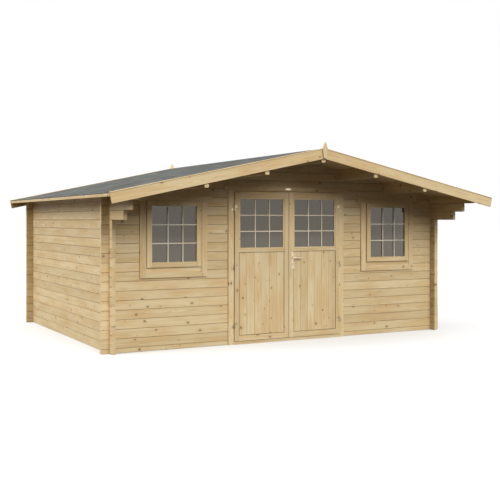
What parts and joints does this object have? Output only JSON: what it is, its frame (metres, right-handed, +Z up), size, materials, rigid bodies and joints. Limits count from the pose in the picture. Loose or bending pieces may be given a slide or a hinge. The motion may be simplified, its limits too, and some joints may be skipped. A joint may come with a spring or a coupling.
{
  "type": "log cabin",
  "caption": "Garden log cabin with a glazed double door, two windows and a low gable roof reaching out over the front.",
  "frame": {"origin": "on the ground, in the middle of the log walls' footprint, on the underside of the middle floor joist", "axes": "+X to the right seen from the door side, +Y to the rear, +Z up; the doors face -Y"},
  "size_m": [5.5232, 4.8156, 2.5602],
  "materials": {
    "logs": "planed, untreated spruce",
    "trim_boards": "planed, untreated spruce",
    "joinery": "planed, untreated spruce",
    "roof_boards": "planed, untreated spruce",
    "joists": "sawn, treated",
    "floor_boards": "planed, untreated spruce",
    "roof_felt": "mineral granules",
    "window_glass": "clear, dark from inside",
    "hinge_steel": "zinc plated",
    "lock_metal": "satin, pale"
  },
  "bodies": {
    "cabin": {"front_wall_left_logs": "logs", "front_wall_right_logs": "logs", "front_gable_logs": "logs", "rear_wall_logs": "logs", "rear_gable_logs": "logs", "left_wall_logs": "logs", "right_wall_logs": "logs", "plate_logs": "logs", "ridge_purlin": "logs", "middle_purlins": "logs", "lower_purlins": "logs", "floor_joists": "joists", "floor_boards": "floor_boards", "roof_boards_left": "roof_boards", "roof_boards_right": "roof_boards", "shingles_left": "roof_felt", "shingles_right": "roof_felt", "ridge_cap": "roof_felt", "eave_battens": "trim_boards", "front_barge_boards": "trim_boards", "rear_barge_boards": "trim_boards", "barge_cover_strips": "trim_boards", "finials": "trim_boards", "door_threshold": "trim_boards", "door_frame": "trim_boards", "door_casing": "trim_boards", "frame_hinges": "hinge_steel", "window_frames": "trim_boards", "window_sashes": "joinery", "window_glass": "window_glass", "window_trims": "trim_boards"},
    "left_leaf": {"left_leaf_frame": "joinery", "left_leaf_panel": "joinery", "left_leaf_beads": "joinery", "left_leaf_glass": "window_glass", "left_leaf_hinges": "hinge_steel"},
    "right_leaf": {"right_leaf_frame": "joinery", "right_leaf_panel": "joinery", "right_leaf_beads": "joinery", "right_leaf_glass": "window_glass", "right_leaf_hinges": "hinge_steel", "lock_plates": "lock_metal"},
    "lever": {"lever_handle": "lock_metal"}
  },
  "joints": [
    {"name": "left_leaf_hinge", "type": "hinge", "parent": "cabin", "child": "left_leaf", "pos_m": [-0.8025, -1.8773, 1], "axis": [0, 0, -1], "range_deg": [0, 110]},
    {"name": "right_leaf_hinge", "type": "hinge", "parent": "cabin", "child": "right_leaf", "pos_m": [0.8025, -1.8773, 1], "axis": [0, 0, 1], "range_deg": [0, 110]},
    {"name": "lever_turn", "type": "hinge", "parent": "right_leaf", "child": "lever", "pos_m": [0.0575, -1.85, 1.096], "axis": [0, 1, 0], "range_deg": [0, 40], "stiffness_Nm_per_rad": 2, "springref_deg": -22.92}
  ]
}
